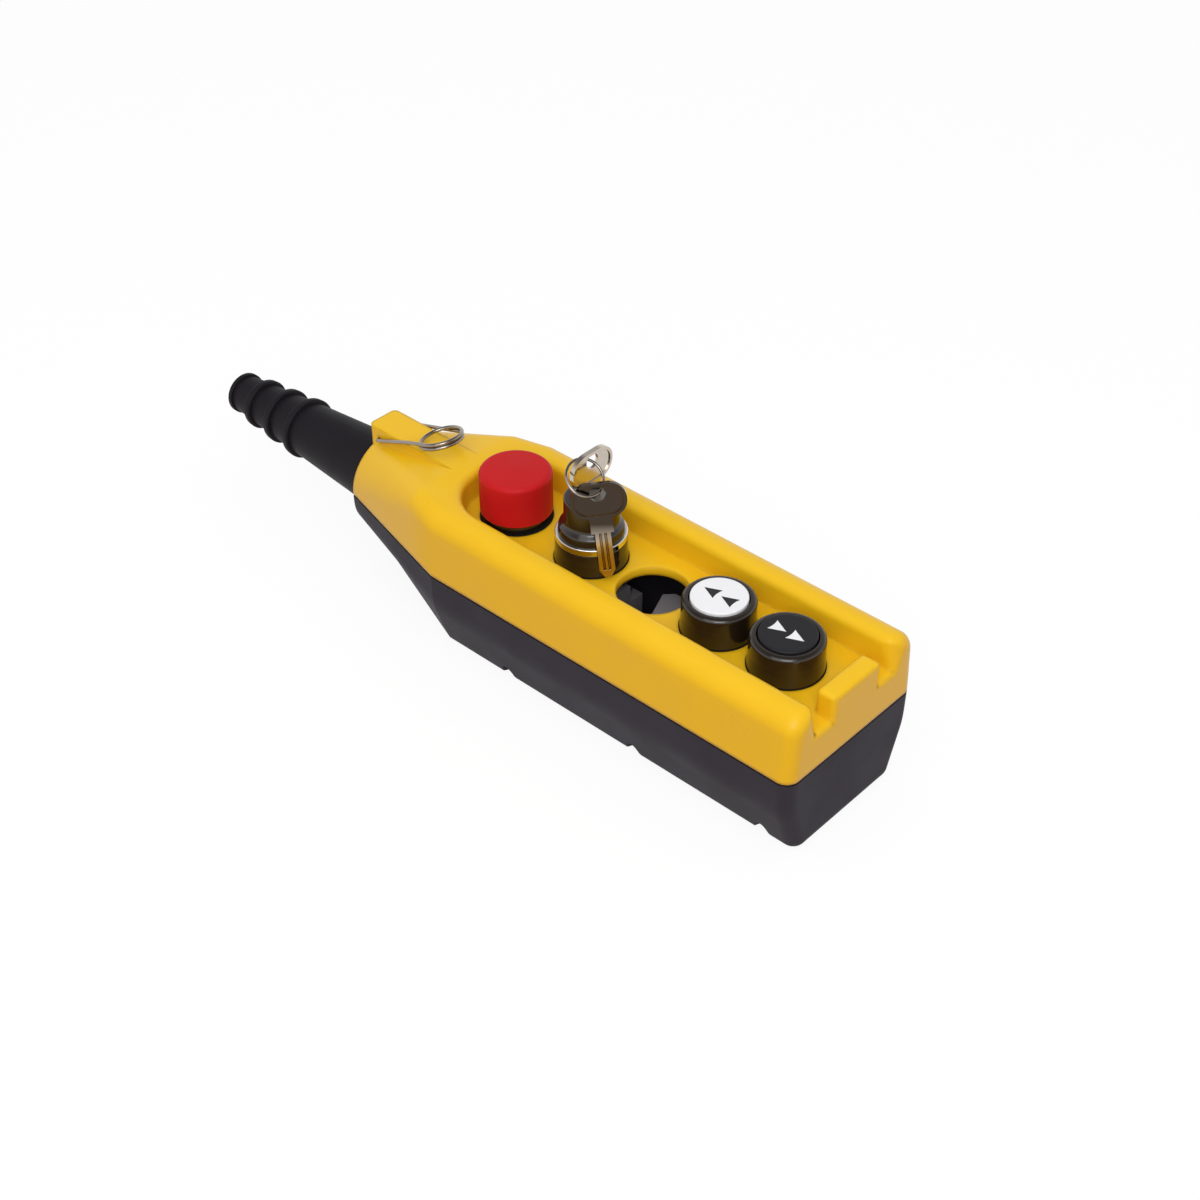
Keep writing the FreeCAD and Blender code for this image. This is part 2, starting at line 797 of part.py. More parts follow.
def bent_path(points, radii):
    """Join points with straight runs and tangent arcs."""
    edges = []
    start = points[0]
    for index in range(1, len(points) - 1):
        point = points[index]
        back = (points[index - 1] - point).normalize()
        ahead = (points[index + 1] - point).normalize()
        half_angle = back.getAngle(ahead) / 2
        radius = radii[index - 1]
        reach = radius / math.tan(half_angle)
        toward = (back + ahead).normalize()
        crown = point + toward * (radius / math.sin(half_angle) - radius)
        edges.append(Part.LineSegment(start, point + back * reach).toShape())
        edges.append(Part.Arc(point + back * reach, crown, point + ahead * reach).toShape())
        start = point + ahead * reach
    edges.append(Part.LineSegment(start, points[-1]).toShape())
    return edges


def half_turn(middle, side, rise):
    """Bend half a turn of the ring from one side (+1 or -1) of its middle to the other."""
    reach = value("ring_half")
    start = middle + Vector(0, side * reach, 0)
    crown = middle + Vector(side * reach, 0, rise / 2)
    end = middle + Vector(0, -side * reach, rise)
    return Part.Arc(start, crown, end).toShape()


def build_hanger():
    """Bend the wire hanger: two legs hooked in the boss and a ring of one and a half turns."""
    half = value("ring_half")
    length = value("leg_length")
    radius = value("wire_radius")
    stack = 2 * radius + value("wire_play")
    bend = value("leg_bend")
    inner = value("eye_gap") / 2
    middle = Vector(length, 0, 0)
    edges = bent_path([Vector(0, inner, 0), Vector(0, half, 0), Vector(length, half, 0)], [bend])
    edges.append(half_turn(middle, 1, 0))
    edges.append(half_turn(middle, -1, stack))
    edges.append(half_turn(middle + Vector(0, 0, stack), 1, 0))
    edges += bent_path(
        [
            Vector(length, -half, stack),
            Vector(length - half, -half, stack),
            Vector(0, -half, 0),
            Vector(0, -inner, 0),
        ],
        [half, bend],
    )
    path = Part.Wire(edges)
    section = Part.Wire(Part.Circle(Vector(0, inner, 0), Vector(0, 1, 0), radius).toShape())
    item = doc.addObject("Part::Feature", "hanger_ring")
    item.Label = "hanger_ring"
    item.Shape = path.makePipeShell([section], True, False, 1)
    tilt = FreeCAD.Rotation(Vector(0, 1, 0), -value("leg_angle"))
    item.Placement = FreeCAD.Placement(Vector(value("eye_x"), 0, value("eye_z")), tilt)
    nodes["hanger_ring"] = item


build_case_screws()
build_sleeve()
build_clamp()
build_hanger()
def build_head_fittings():
    """Make the seal in the groove of each head and the nut that draws it down on the tray."""
    seals = []
    nuts = []
    for index, x in enumerate(HEADS, start=1):
        seals.append(turned(f"operator_seal_{index}", [
            ("groove_radius", "0"),
            ("ring_radius", "0"),
            ("ring_radius", "head_seal"),
            ("groove_radius", "head_seal"),
        ], x, "0", "floor_z"))
        nut = turned(f"lock_nut_{index}", [
            ("shank_radius + nut_play", "-nut_height"),
            ("nut_radius", "-nut_height"),
            ("nut_radius", "0"),
            ("shank_radius + nut_play", "0"),
        ], x, "0", "ceiling_z")
        notch = new_sketch(nut, "XY_Plane")
        circle(notch, "nut_radius", "0", "nut_notch")
        cut = feature(nut, "Pocket", notch, "nut_height")
        ring = nut.newObject("PartDesign::PolarPattern", f"lock_nut_{index}_notches")
        ring.Originals = [cut]
        ring.Axis = (notch, ["N_Axis"])
        ring.Occurrences = 6
        nut.Tip = ring
        doc.recompute()
        nuts.append(nut)
    grouped("operator_seals", seals)
    grouped("lock_nuts", nuts)


def head_foot():
    """Give the lower outline of a head: threaded shank, spigot in the tray's hole and seal groove."""
    return [
        ("shank_radius", "-shank_depth"),
        ("shank_radius", "spigot_gap - tray_thickness"),
        ("spigot_radius", "spigot_gap - tray_thickness"),
        ("spigot_radius", "0"),
        ("groove_radius", "0"),
        ("groove_radius", "head_seal"),
    ]


def build_contact_block(name, x):
    """Make a contact block on the floor of the rear housing, with stepped sides for its terminals."""
    body = new_body(f"{name}_contact_block", f"{x} - block_length / 2", "0", "floor_z - shank_depth")
    sketch = new_sketch(body, "YZ_Plane")
    outline(sketch, mirrored([
        ("block_half", "-block_height"),
        ("block_half", "-block_step"),
        ("block_neck", "-block_step"),
        ("block_neck", "0"),
    ]))
    feature(body, "Pad", sketch, "block_length")
    well = new_sketch(body, "XY_Plane")
    circle(well, "block_length / 2", "0", "block_well")
    feature(body, "Pocket", well, "block_height / 2")
    holes = new_sketch(body, "XY_Plane", "-block_step")
    for along in ("-", "+"):
        for side in ("", "-"):
            spot = f"block_length / 2 {along} terminal_along"
            circle(holes, spot, f"{side}terminal_side", "terminal_radius + screw_play")
    feature(body, "Pocket", holes, "terminal_bite + screw_play")
    nodes[body.Label] = body


def build_terminals(names):
    """Make the four terminal screws of each contact block."""
    pieces = []
    for name, x in names:
        for along in ("-", "+"):
            for side in ("", "-"):
                spot = f"{x} {along} terminal_along"
                pieces.append(turned(f"terminal_screw_{len(pieces) + 1}", [
                    ("0", "-terminal_bite"),
                    ("terminal_radius", "-terminal_bite"),
                    ("terminal_radius", "0"),
                    ("terminal_head", "0"),
                    ("terminal_head", "terminal_radius"),
                    ("0", "terminal_radius"),
                ], spot, f"{side}terminal_side", "floor_z - shank_depth - block_step"))
    grouped("terminal_screws", pieces)


def build_spring(label, x, low, high):
    """Turn a pleated return spring between two heights above the tray floor."""
    outer = []
    inner = []
    for step in range(2 * SPRING_PLEATS + 1):
        height = f"{low} + ({high} - ({low})) * {step} / {2 * SPRING_PLEATS}"
        wave = "spring_radius + spring_wave" if step % 2 else "spring_radius - spring_wave"
        outer.append((f"{wave} + spring_wall / 2", height))
        inner.append((f"{wave} - spring_wall / 2", height))
    nodes[label] = turned(label, outer + inner[::-1], x, "0", "floor_z")


def build_button(name, x):
    """Make a spring-return push button: collar with threaded shank, disc, plunger and spring."""
    nodes[f"{name}_collar"] = turned(f"{name}_collar", head_foot() + [
        ("head_radius + head_flare", "head_seal"),
        ("head_radius", "collar_height / 2"),
        ("head_radius", "collar_height", "collar_round"),
        ("cap_radius + cap_play", "collar_height"),
        ("cap_radius + cap_play", "head_seal + guide_height"),
        ("shank_bore", "head_seal + guide_height"),
        ("shank_bore", "-tray_thickness"),
        ("stem_radius + stem_play", "-tray_thickness"),
        ("stem_radius + stem_play", "-tray_thickness - guide_height"),
        ("shank_bore", "-tray_thickness - guide_height"),
        ("shank_bore", "-shank_depth"),
    ], x, "0", "floor_z")
    nodes[f"{name}_cap"] = turned(f"{name}_cap", [
        ("0", "collar_height + cap_proud - cap_depth"),
        ("cap_radius", "collar_height + cap_proud - cap_depth"),
        ("cap_radius", "collar_height + cap_proud", "cap_round"),
        ("0", "collar_height + cap_proud"),
    ], x, "0", "floor_z")
    nodes[f"{name}_plunger"] = turned(f"{name}_plunger", [
        ("0", "-shank_depth - plunger_reach"),
        ("stem_radius", "-shank_depth - plunger_reach"),
        ("stem_radius", "collar_height + cap_proud - cap_depth"),
        ("0", "collar_height + cap_proud - cap_depth"),
    ], x, "0", "floor_z")
    build_spring(f"{name}_spring", x, "-tray_thickness", "collar_height + cap_proud - cap_depth")
    build_contact_block(name, x)


def build_stop():
    """Make the mushroom stop button: neck, turning cap, plunger, spring and block."""
    nodes["stop_body"] = turned("stop_body", head_foot() + [
        ("neck_radius", "head_seal"),
        ("neck_radius", "neck_height", "cap_round"),
        ("shank_bore", "neck_height"),
        ("shank_bore", "head_seal"),
        ("post_stem + stem_play", "head_seal"),
        ("post_stem + stem_play", "head_seal - guide_height"),
        ("shank_bore", "head_seal - guide_height"),
        ("shank_bore", "-shank_depth"),
    ], "stop_x", "0", "floor_z")
    nodes["stop_cap"] = turned("stop_cap", [
        ("0", "mushroom_top - mushroom_crown"),
        ("mushroom_radius - mushroom_skirt", "mushroom_top - mushroom_crown"),
        ("mushroom_radius - mushroom_skirt", "mushroom_low"),
        ("mushroom_radius", "mushroom_low"),
        ("mushroom_radius", "mushroom_top - mushroom_dome", "mushroom_round"),
        ("0", "mushroom_top"),
    ], "stop_x", "0", "floor_z")
    nodes["stop_plunger"] = turned("stop_plunger", [
        ("0", "-shank_depth - plunger_reach"),
        ("stem_radius", "-shank_depth - plunger_reach"),
        ("stem_radius", "-shank_depth / 2"),
        ("post_stem", "-shank_depth / 2"),
        ("post_stem", "flange_low"),
        ("flange_radius", "flange_low"),
        ("flange_radius", "mushroom_top - mushroom_crown"),
        ("0", "mushroom_top - mushroom_crown"),
    ], "stop_x", "0", "floor_z")
    build_spring("stop_spring", "stop_x", "head_seal", "flange_low")
    build_contact_block("stop", "stop_x")


def build_strip():
    """Make the terminal strip that is seen through the open station."""
    body = new_body("terminal_strip", "open_x", "0", "wall")
    sketch = new_sketch(body, "XY_Plane")
    outline(sketch, [
        ("-strip_reach", "-(strip_side - strip_cut)"),
        ("strip_notch - strip_reach", "-strip_slot"),
        ("strip_notch - strip_reach", "strip_slot"),
        ("-strip_reach", "strip_side - strip_cut"),
        ("strip_cut - strip_reach", "strip_side"),
        ("strip_length - strip_reach", "strip_side"),
        ("strip_length - strip_reach", "-strip_side"),
        ("strip_cut - strip_reach", "-strip_side"),
    ])
    feature(body, "Pad", sketch, "block_height")
    nodes["terminal_strip"] = body


build_head_fittings()
build_button("up", "up_x")
build_button("down", "down_x")
build_stop()
build_strip()
def bow_outline(inset):
    """Give the oval of a key's bow, or the same oval drawn in by an inset."""
    low = f"-(hole_up + bow_height / 2) + {inset}"
    high = f"bow_height / 2 - hole_up - {inset}"
    flat = f"bow_flat - {EIGHTH} * {inset}"
    cheek = f"bow_cheek - (1 - {EIGHTH}) * {inset}"
    return mirrored([
        (flat, low, f"bow_round - {inset}"),
        (f"bow_half - {inset}", f"{low} + {cheek}", f"cheek_round - {inset}"),
        (f"bow_half - {inset}", f"{high} - ({cheek})", f"cheek_round - {inset}"),
        (flat, high, f"bow_round - {inset}"),
    ])


def build_key(label, spot, rotation):
    """Make a flat key with its ring hole at the given spot, bow up and blade down."""
    body = doc.addObject("PartDesign::Body", label)
    body.Label = label
    bow_low = "-(hole_up + bow_height / 2)"
    bow = new_sketch(body, "YZ_Plane", "-key_thick / 2")
    outline(bow, bow_outline("0"))
    feature(body, "Pad", bow, "key_thick")
    for offset, flip in (("key_thick / 2", False), ("-key_thick / 2", True)):
        sunk = new_sketch(body, "YZ_Plane", offset)
        outline(sunk, bow_outline("bow_rim"))
        feature(body, "Pocket", sunk, "bow_sink", flip)
    blade = new_sketch(body, "YZ_Plane", "-key_thick / 2")
    outline(blade, mirrored([
        ("blade_tip", f"{bow_low} - blade_length"),
        ("blade_half", f"{bow_low} - blade_length + blade_half"),
        ("blade_half", f"{bow_low} - shoulder_drop"),
        ("shoulder_half", f"{bow_low} - shoulder_drop"),
        ("shoulder_half", f"{bow_low} + bow_rim"),
    ]))
    feature(body, "Pad", blade, "key_thick")
    for offset, flip in (("key_thick / 2", False), ("-key_thick / 2", True)):
        groove = new_sketch(body, "YZ_Plane", offset)
        for side in ("", "-"):
            outline(groove, [
                (f"{side}groove_near", f"{bow_low} - blade_length + blade_half"),
                (f"{side}groove_far", f"{bow_low} - blade_length + blade_half"),
                (f"{side}groove_far", f"{bow_low} - shoulder_drop"),
                (f"{side}groove_near", f"{bow_low} - shoulder_drop"),
            ])
        feature(body, "Pocket", groove, "groove_depth", flip)
    hole = new_sketch(body, "YZ_Plane", "key_thick")
    circle(hole, "0", "0", "key_hole")
    feature(body, "Pocket", hole, "key_thick * 2")
    body.Placement = FreeCAD.Placement(spot, rotation)
    doc.recompute()
    nodes[label] = body


def build_key_switch():
    """Make the key switch: collar, bright bezel, barrel, slotted rotor, key, ring and hanging spare key."""
    nodes["key_collar"] = turned("key_collar", head_foot() + [
        ("head_radius + head_flare", "head_seal"),
        ("head_radius", "key_collar_height / 2"),
        ("head_radius", "key_collar_height"),
        ("barrel_tail + stem_play", "key_collar_height"),
        ("barrel_tail + stem_play", "-shank_depth"),
    ], "key_x", "0", "floor_z")
    nodes["key_bezel"] = turned("key_bezel", [
        ("barrel_waist + stem_play", "key_collar_height"),
        ("head_radius", "key_collar_height", "bezel_round"),
        ("head_radius", "key_collar_height + bezel_height", "bezel_round"),
        ("barrel_waist + stem_play", "key_collar_height + bezel_height"),
    ], "key_x", "0", "floor_z")
    nodes["key_barrel"] = turned("key_barrel", [
        ("rotor_radius + stem_play", "-tray_thickness"),
        ("barrel_tail", "-tray_thickness"),
        ("barrel_tail", "key_collar_height"),
        ("barrel_waist", "key_collar_height"),
        ("barrel_waist", "key_collar_height + bezel_height"),
        ("barrel_flare", "key_collar_height + bezel_height"),
        ("barrel_flare - band_draft", "key_collar_height + bezel_height + barrel_band", "band_round"),
        ("barrel_neck", "key_collar_height + bezel_height + barrel_step", "barrel_sweep"),
        ("barrel_radius", "barrel_top", "barrel_round"),
        ("rotor_radius + stem_play", "barrel_top"),
    ], "key_x", "0", "floor_z")
    rotor = turned("key_rotor", [
        ("0", "-shank_depth - plunger_reach"),
        ("stem_radius", "-shank_depth - plunger_reach"),
        ("stem_radius", "-tray_thickness - guide_height"),
        ("barrel_tail - cap_play", "-tray_thickness - guide_height"),
        ("barrel_tail - cap_play", "-tray_thickness - stem_play"),
        ("rotor_radius", "-tray_thickness - stem_play"),
        ("rotor_radius", "barrel_top - rotor_sink"),
        ("0", "barrel_top - rotor_sink"),
    ], "key_x", "0", "floor_z")
    slot = new_sketch(rotor, "XY_Plane", "barrel_top")
    outline(slot, [
        ("key_thick / 2 + key_play", "-(blade_half + key_play)"),
        ("key_thick / 2 + key_play", "blade_half + key_play"),
        ("-(key_thick / 2 + key_play)", "blade_half + key_play"),
        ("-(key_thick / 2 + key_play)", "-(blade_half + key_play)"),
    ])
    feature(rotor, "Pocket", slot, "blade_length - key_neck + key_play")
    nodes["key_rotor"] = rotor
    build_contact_block("key", "key_x")
    yaw = math.radians(value("spare_yaw_angle"))
    out = value("spare_out")
    across = value("spare_side")
    hole = Vector(value("key_x"), 0, value("floor_z + barrel_top + key_neck + bow_height / 2 + hole_up"))
    hung = hole + Vector(
        out * math.cos(yaw) - across * math.sin(yaw),
        out * math.sin(yaw) + across * math.cos(yaw),
        -value("spare_drop"),
    )
    build_key("switch_key", hole, FreeCAD.Rotation())
    spare_turn = FreeCAD.Rotation(
        value("spare_yaw_angle"),
        -value("spare_lean_angle"),
        value("spare_tip_angle"),
    )
    build_key("spare_key", hung, spare_turn)
    chord = hung - hole
    inward = Vector(chord.y, -chord.x, 0).normalize()
    inward = FreeCAD.Rotation(chord, value("ring_tilt_angle")).multVec(inward)
    rise = math.sqrt(value("split_ring") ** 2 - (chord.Length / 2) ** 2)
    ring = doc.addObject("Part::Torus", "key_ring")
    ring.Label = "key_ring"
    bind(ring, "Radius1", "split_ring")
    bind(ring, "Radius2", "split_wire")
    middle = (hole + hung) / 2 + inward * rise
    upright = FreeCAD.Rotation(Vector(0, 0, 1), chord.cross(inward))
    ring.Placement = FreeCAD.Placement(middle, upright)
    nodes["key_ring"] = ring


build_key_switch()
build_terminals([("stop", "stop_x"), ("key", "key_x"), ("up", "up_x"), ("down", "down_x")])
doc.recompute()


def save_nodes():
    """Check every object of the document and each piece, then write the pieces."""
    for item in doc.Objects:
        if "Invalid" in item.State or "Error" in item.State:
            raise RuntimeError(f"{item.Label} failed: {item.State}")
    for label, item in nodes.items():
        if item.Shape.isNull() or not item.Shape.isValid():
            raise RuntimeError(f"{label} has no valid shape")
    os.makedirs("parts", exist_ok=True)
    for label, item in nodes.items():
        item.Shape.exportStep(f"parts/{label}.step")


save_nodes()
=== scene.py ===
import json
import math

import bmesh
import bpy
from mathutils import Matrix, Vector


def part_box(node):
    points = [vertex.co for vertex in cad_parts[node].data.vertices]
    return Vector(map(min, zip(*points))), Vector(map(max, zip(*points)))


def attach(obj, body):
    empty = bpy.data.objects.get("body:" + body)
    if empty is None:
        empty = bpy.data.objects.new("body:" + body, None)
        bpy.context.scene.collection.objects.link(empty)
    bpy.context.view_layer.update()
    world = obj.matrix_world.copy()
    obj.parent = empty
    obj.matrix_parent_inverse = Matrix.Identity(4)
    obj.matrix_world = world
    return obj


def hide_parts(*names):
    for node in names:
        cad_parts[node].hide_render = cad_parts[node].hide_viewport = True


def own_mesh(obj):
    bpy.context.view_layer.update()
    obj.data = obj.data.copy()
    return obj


# Crane pendant control on a white table: yellow cover, charcoal rear housing, ribbed rubber
# sleeve, bright wire hanger, red stop, key switch with its keys, an open station and two buttons.

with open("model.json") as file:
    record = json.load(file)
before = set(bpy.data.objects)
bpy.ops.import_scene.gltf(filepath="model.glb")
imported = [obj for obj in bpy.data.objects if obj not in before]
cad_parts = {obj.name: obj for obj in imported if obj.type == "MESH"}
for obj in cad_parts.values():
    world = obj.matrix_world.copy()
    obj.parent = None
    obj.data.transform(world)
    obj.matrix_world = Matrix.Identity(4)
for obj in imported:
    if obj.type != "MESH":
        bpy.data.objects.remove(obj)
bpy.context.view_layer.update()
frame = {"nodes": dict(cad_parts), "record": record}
MM = 0.001

# Camera of the photograph, in the object's own frame.
EYE = Vector((0.4809, -0.4711, 0.5472))
AIM = Vector((0.0630, -0.0142, 0.0531))
LENS = 58.87
SENSOR = 36.0
NEAR_CLIP = 0.01
FAR_CLIP = 50.0


def linear(code):
    """Turn an sRGB hex colour into linear red, green, blue and full opacity."""
    parts = [int(code[i:i + 2], 16) / 255 for i in (1, 3, 5)]
    return [p / 12.92 if p <= 0.04045 else ((p + 0.055) / 1.055) ** 2.4 for p in parts] + [1.0]


def add(tree, kind, inputs=None, **settings):
    """Add a node: settings are its own properties, and an input is either linked or given a value."""
    made = tree.nodes.new("ShaderNode" + kind)
    for name, choice in settings.items():
        setattr(made, name, choice)
    for name, given in (inputs or {}).items():
        if isinstance(given, bpy.types.NodeSocket):
            tree.links.new(given, made.inputs[name])
        else:
            made.inputs[name].default_value = given
    return made


def surface(name):
    """Start a material and give its node tree and its shader."""
    material = bpy.data.materials.new(name)
    material.use_nodes = True
    tree = material.node_tree
    return material, tree, tree.nodes["Principled BSDF"]


# Nearly all of a noise's values lie between these two.
NOISE_LOW = 0.3
NOISE_HIGH = 0.7
MELT_DETAIL = 3.0
FINE_DETAIL = 2.0
EDGE_SAMPLES = 6

# A moulded skin's roughness strays this far either way with the flow of the melt.
SKIN_STRAY = 0.05


def moulded(name, colour, shadow, roughness, ior, gloss, grain, depth, flow=22.0, edge=0.35):
    """Moulded polymer: flow of the melt in its colour, spark-eroded grain and softened edges.

    Widths and depths are in millimetres. Real grain is about 0.1 mm wide and too fine to show, so
    it is drawn several times as coarse.
    """
    material, tree, shader = surface(name)
    places = add(tree, "TexCoord").outputs["Object"]
    melt = add(tree, "TexNoise", {"Vector": places, "Scale": 1 / (flow * MM), "Detail": MELT_DETAIL})
    tone = add(tree, "Mix", {"Factor": melt.outputs["Fac"], "A": linear(shadow), "B": linear(colour)},
               data_type="RGBA")
    tree.links.new(tone.outputs["Result"], shader.inputs["Base Color"])
    wipe = add(tree, "MapRange", {"Value": melt.outputs["Fac"], "From Min": NOISE_LOW,
                                  "From Max": NOISE_HIGH, "To Min": roughness - SKIN_STRAY,
                                  "To Max": roughness + SKIN_STRAY})
    tree.links.new(wipe.outputs["Result"], shader.inputs["Roughness"])
    pits = add(tree, "TexNoise", {"Vector": places, "Scale": 1 / (grain * MM), "Detail": FINE_DETAIL})
    soft = add(tree, "Bevel", {"Radius": edge * MM}, samples=EDGE_SAMPLES)
    bump = add(tree, "Bump", {"Height": pits.outputs["Fac"], "Distance": depth * MM, "Strength": 1.0,
                              "Normal": soft.outputs["Normal"]})
    tree.links.new(bump.outputs["Normal"], shader.inputs["Normal"])
    shader.inputs["IOR"].default_value = ior
    shader.inputs["Specular IOR Level"].default_value = gloss
    return material


# Draw lines in plated metal are this many times as long as wide, and as deep as a fine scratch.
LINE_STRETCH = 14
LINE_DEPTH = 0.002 * MM
DULL_PATCH = 9 * MM
PLATED_EDGE = 0.15 * MM

# Shares of a plated metal's roughness at its smoothest and its roughest.
LINE_SMOOTH = 0.7
LINE_ROUGH = 1.3


def plated(name, colour, dull, roughness, streak, along):
    """Plated metal: faint draw lines along one axis and patches of duller plating.

    The streak is a line's width in millimetres. Real lines are about 0.05 mm wide, so they are drawn
    coarser to show.
    """
    material, tree, shader = surface(name)
    places = add(tree, "TexCoord").outputs["Object"]
    stretch = [1 / (streak * MM)] * 3
    stretch[along] = 1 / (streak * LINE_STRETCH * MM)
    lines = add(tree, "Mapping", {"Vector": places, "Scale": stretch})
    drawn = add(tree, "TexNoise", {"Vector": lines.outputs["Vector"], "Scale": 1.0, "Detail": FINE_DETAIL})
    patch = add(tree, "TexNoise", {"Vector": places, "Scale": 1 / DULL_PATCH, "Detail": FINE_DETAIL})
    tone = add(tree, "Mix", {"Factor": patch.outputs["Fac"], "A": linear(dull), "B": linear(colour)},
               data_type="RGBA")
    tree.links.new(tone.outputs["Result"], shader.inputs["Base Color"])
    wipe = add(tree, "MapRange", {"Value": drawn.outputs["Fac"], "From Min": NOISE_LOW,
                                  "From Max": NOISE_HIGH, "To Min": roughness * LINE_SMOOTH,
                                  "To Max": roughness * LINE_ROUGH})
    tree.links.new(wipe.outputs["Result"], shader.inputs["Roughness"])
    edge = add(tree, "Bevel", {"Radius": PLATED_EDGE}, samples=EDGE_SAMPLES)
    bump = add(tree, "Bump", {"Height": drawn.outputs["Fac"], "Distance": LINE_DEPTH, "Strength": 1.0,
                              "Normal": edge.outputs["Normal"]})
    tree.links.new(bump.outputs["Normal"], shader.inputs["Normal"])
    shader.inputs["Metallic"].default_value = 1.0
    return material


# Painted shade covers the metal where it is no more open than the first share, and is gone at the second.
HOLLOW_SHUT = 0.6
HOLLOW_OPEN = 0.95
HOLLOW_SAMPLES = 8


def paint_key_shade(material, dark_reflection, low, high, hollow_shade, reach):
    """Paint a dark reflection on a plated key's bow between two heights, and paint shade into its grooves
    and its hole.
    """
    tree = material.node_tree
    shader = tree.nodes["Principled BSDF"]
    bright = shader.inputs["Base Color"].links[0].from_socket
    height = add(tree, "SeparateXYZ", {"Vector": add(tree, "TexCoord").outputs["Object"]})
    # Painted dark reflection: the bow's colour darkens from the lower height to the upper one.
    reflection_share = add(tree, "MapRange", {"Value": height.outputs["Z"], "From Min": low, "From Max": high})
    tone = add(tree, "Mix", {"Factor": reflection_share.outputs["Result"], "A": bright, "B": linear(dark_reflection)},
               data_type="RGBA")
    # Painted shade: the colour goes dark where the metal is hemmed in, as in the grooves and the hole.
    hollow = add(tree, "AmbientOcclusion", {"Distance": reach}, samples=HOLLOW_SAMPLES, only_local=True)
    unshaded_share = add(tree, "MapRange", {"Value": hollow.outputs["AO"], "From Min": HOLLOW_SHUT,
                                  "From Max": HOLLOW_OPEN})
    hollow_shaded = add(tree, "Mix", {"Factor": unshaded_share.outputs["Result"], "A": linear(hollow_shade),
                                "B": tone.outputs["Result"]}, data_type="RGBA")
    tree.links.new(hollow_shaded.outputs["Result"], shader.inputs["Base Color"])
    return material


# Each finish is listed under the record's slot that it serves.
ALONG_X = 0
ALONG_Z = 2
FINISHES = {
    # ABS in safety yellow, moulded semi-gloss: soft broad highlights, a faint orange peel and soft edges.
    "cover_yellow": moulded("moulded_abs_yellow", "#F2C11C", "#ECB918", roughness=0.32, ior=1.54,
                            gloss=0.22, grain=0.9, depth=0.004, edge=2.5),
    # Glass-filled nylon in charcoal, spark-eroded: fine even grain that greys the light.
    "housing_grey": moulded("glass_nylon_charcoal", "#322F38", "#2D2A33", roughness=0.6, ior=1.53,
                            gloss=0.14, grain=0.7, depth=0.012),
    # Nitrile rubber, moulded: dull black line in the seam and under the heads.
    "seal_black": moulded("nitrile_black", "#0B0A0B", "#080708", roughness=0.72, ior=1.52,
                          gloss=0.3, grain=0.5, depth=0.01, flow=6.0),
    # EPDM rubber, compression moulded: near black with a slight bloom and a soft sheen.
    "sleeve_rubber": moulded("epdm_rubber_black", "#1D1A1F", "#19161B", roughness=0.55, ior=1.52,
                             gloss=0.12, grain=0.8, depth=0.012, flow=14.0),
    # Spring steel wire, bright nickel plated: a grey mirror with faint drawn lines.
    "bright_wire": plated("nickel_plated_wire", "#A39B93", "#8B837B", roughness=0.08, streak=0.2,
                          along=ALONG_X),
    # Zinc-plated steel screws: pale satin heads.
    "screw_steel": plated("zinc_plated_steel", "#BFC0C4", "#A6A7AC", roughness=0.34, streak=0.3,
                          along=ALONG_Z),
    # Drawn spring steel wire, left plain: grey satin turns.
    "spring_steel": plated("drawn_spring_steel", "#A7A8AA", "#8F9092", roughness=0.3, streak=0.3,
                           along=ALONG_Z),
    # Polyamide in signal red, satin mould: deep red with a soft edge to its highlight.
    "stop_red": moulded("satin_polyamide_red", "#C81A1E", "#BD171B", roughness=0.45, ior=1.55,
                        gloss=0.12, grain=0.6, depth=0.005, flow=16.0),
    # Polycarbonate in black, polished mould: dark mirror that takes the yellow of the tray. Its black is
    # warmed brown as a painted reflection of the yellow tray.
    "head_black": moulded("gloss_polycarbonate_black_painted_reflection", "#231A12", "#1E160F", roughness=0.16, ior=1.58,
                          gloss=0.5, grain=1.2, depth=0.001, flow=12.0),
    # Brass ring, polished and chromed: clear mirror.
    "bezel_chrome": plated("polished_chrome", "#E2E3E4", "#DADBDC", roughness=0.07, streak=0.25,
                           along=ALONG_Z),
    # Stamped brass keys, nickel plated: grey mirror softened by handling.
    "key_nickel": plated("nickel_plated_brass", "#CFC5B9", "#BAB0A4", roughness=0.14, streak=0.25,
                         along=ALONG_Z),
    # Turned brass lock plug, satin nickel plated: dull warm grey.
    "lock_metal": plated("satin_nickel", "#98968F", "#86847E", roughness=0.36, streak=0.25,
                         along=ALONG_Z),
    # ABS disc in white, satin mould: even white with hardly a highlight.
    "disc_white": moulded("satin_abs_white", "#EFEEF0", "#EAE9EB", roughness=0.4, ior=1.54,
                          gloss=0.2, grain=0.7, depth=0.003, flow=10.0),
    # ABS disc in black, satin mould: charcoal black with hardly a highlight.
    "disc_black": moulded("satin_abs_black", "#232226", "#1F1E22", roughness=0.45, ior=1.54,
                          gloss=0.2, grain=0.7, depth=0.003, flow=10.0),
    # Acetal in dark grey, moulded, for nuts, clamp and plungers: waxy sheen.
    "inner_plastic": moulded("acetal_dark_grey", "#343437", "#2C2C2F", roughness=0.5, ior=1.48,
                             gloss=0.4, grain=0.8, depth=0.006, flow=10.0),
    # PBT in mid grey, moulded, for contact blocks and the terminal strip: plain dull grey.
    "block_plastic": moulded("pbt_mid_grey", "#7C7A7E", "#727074", roughness=0.52, ior=1.55,
                             gloss=0.4, grain=0.8, depth=0.008, flow=12.0),
}
for entry in frame["record"]["subparts"]:
    node = frame["nodes"][entry["node"]]
    node.data.materials.clear()
    node.data.materials.append(FINISHES[entry["material_slot"]])
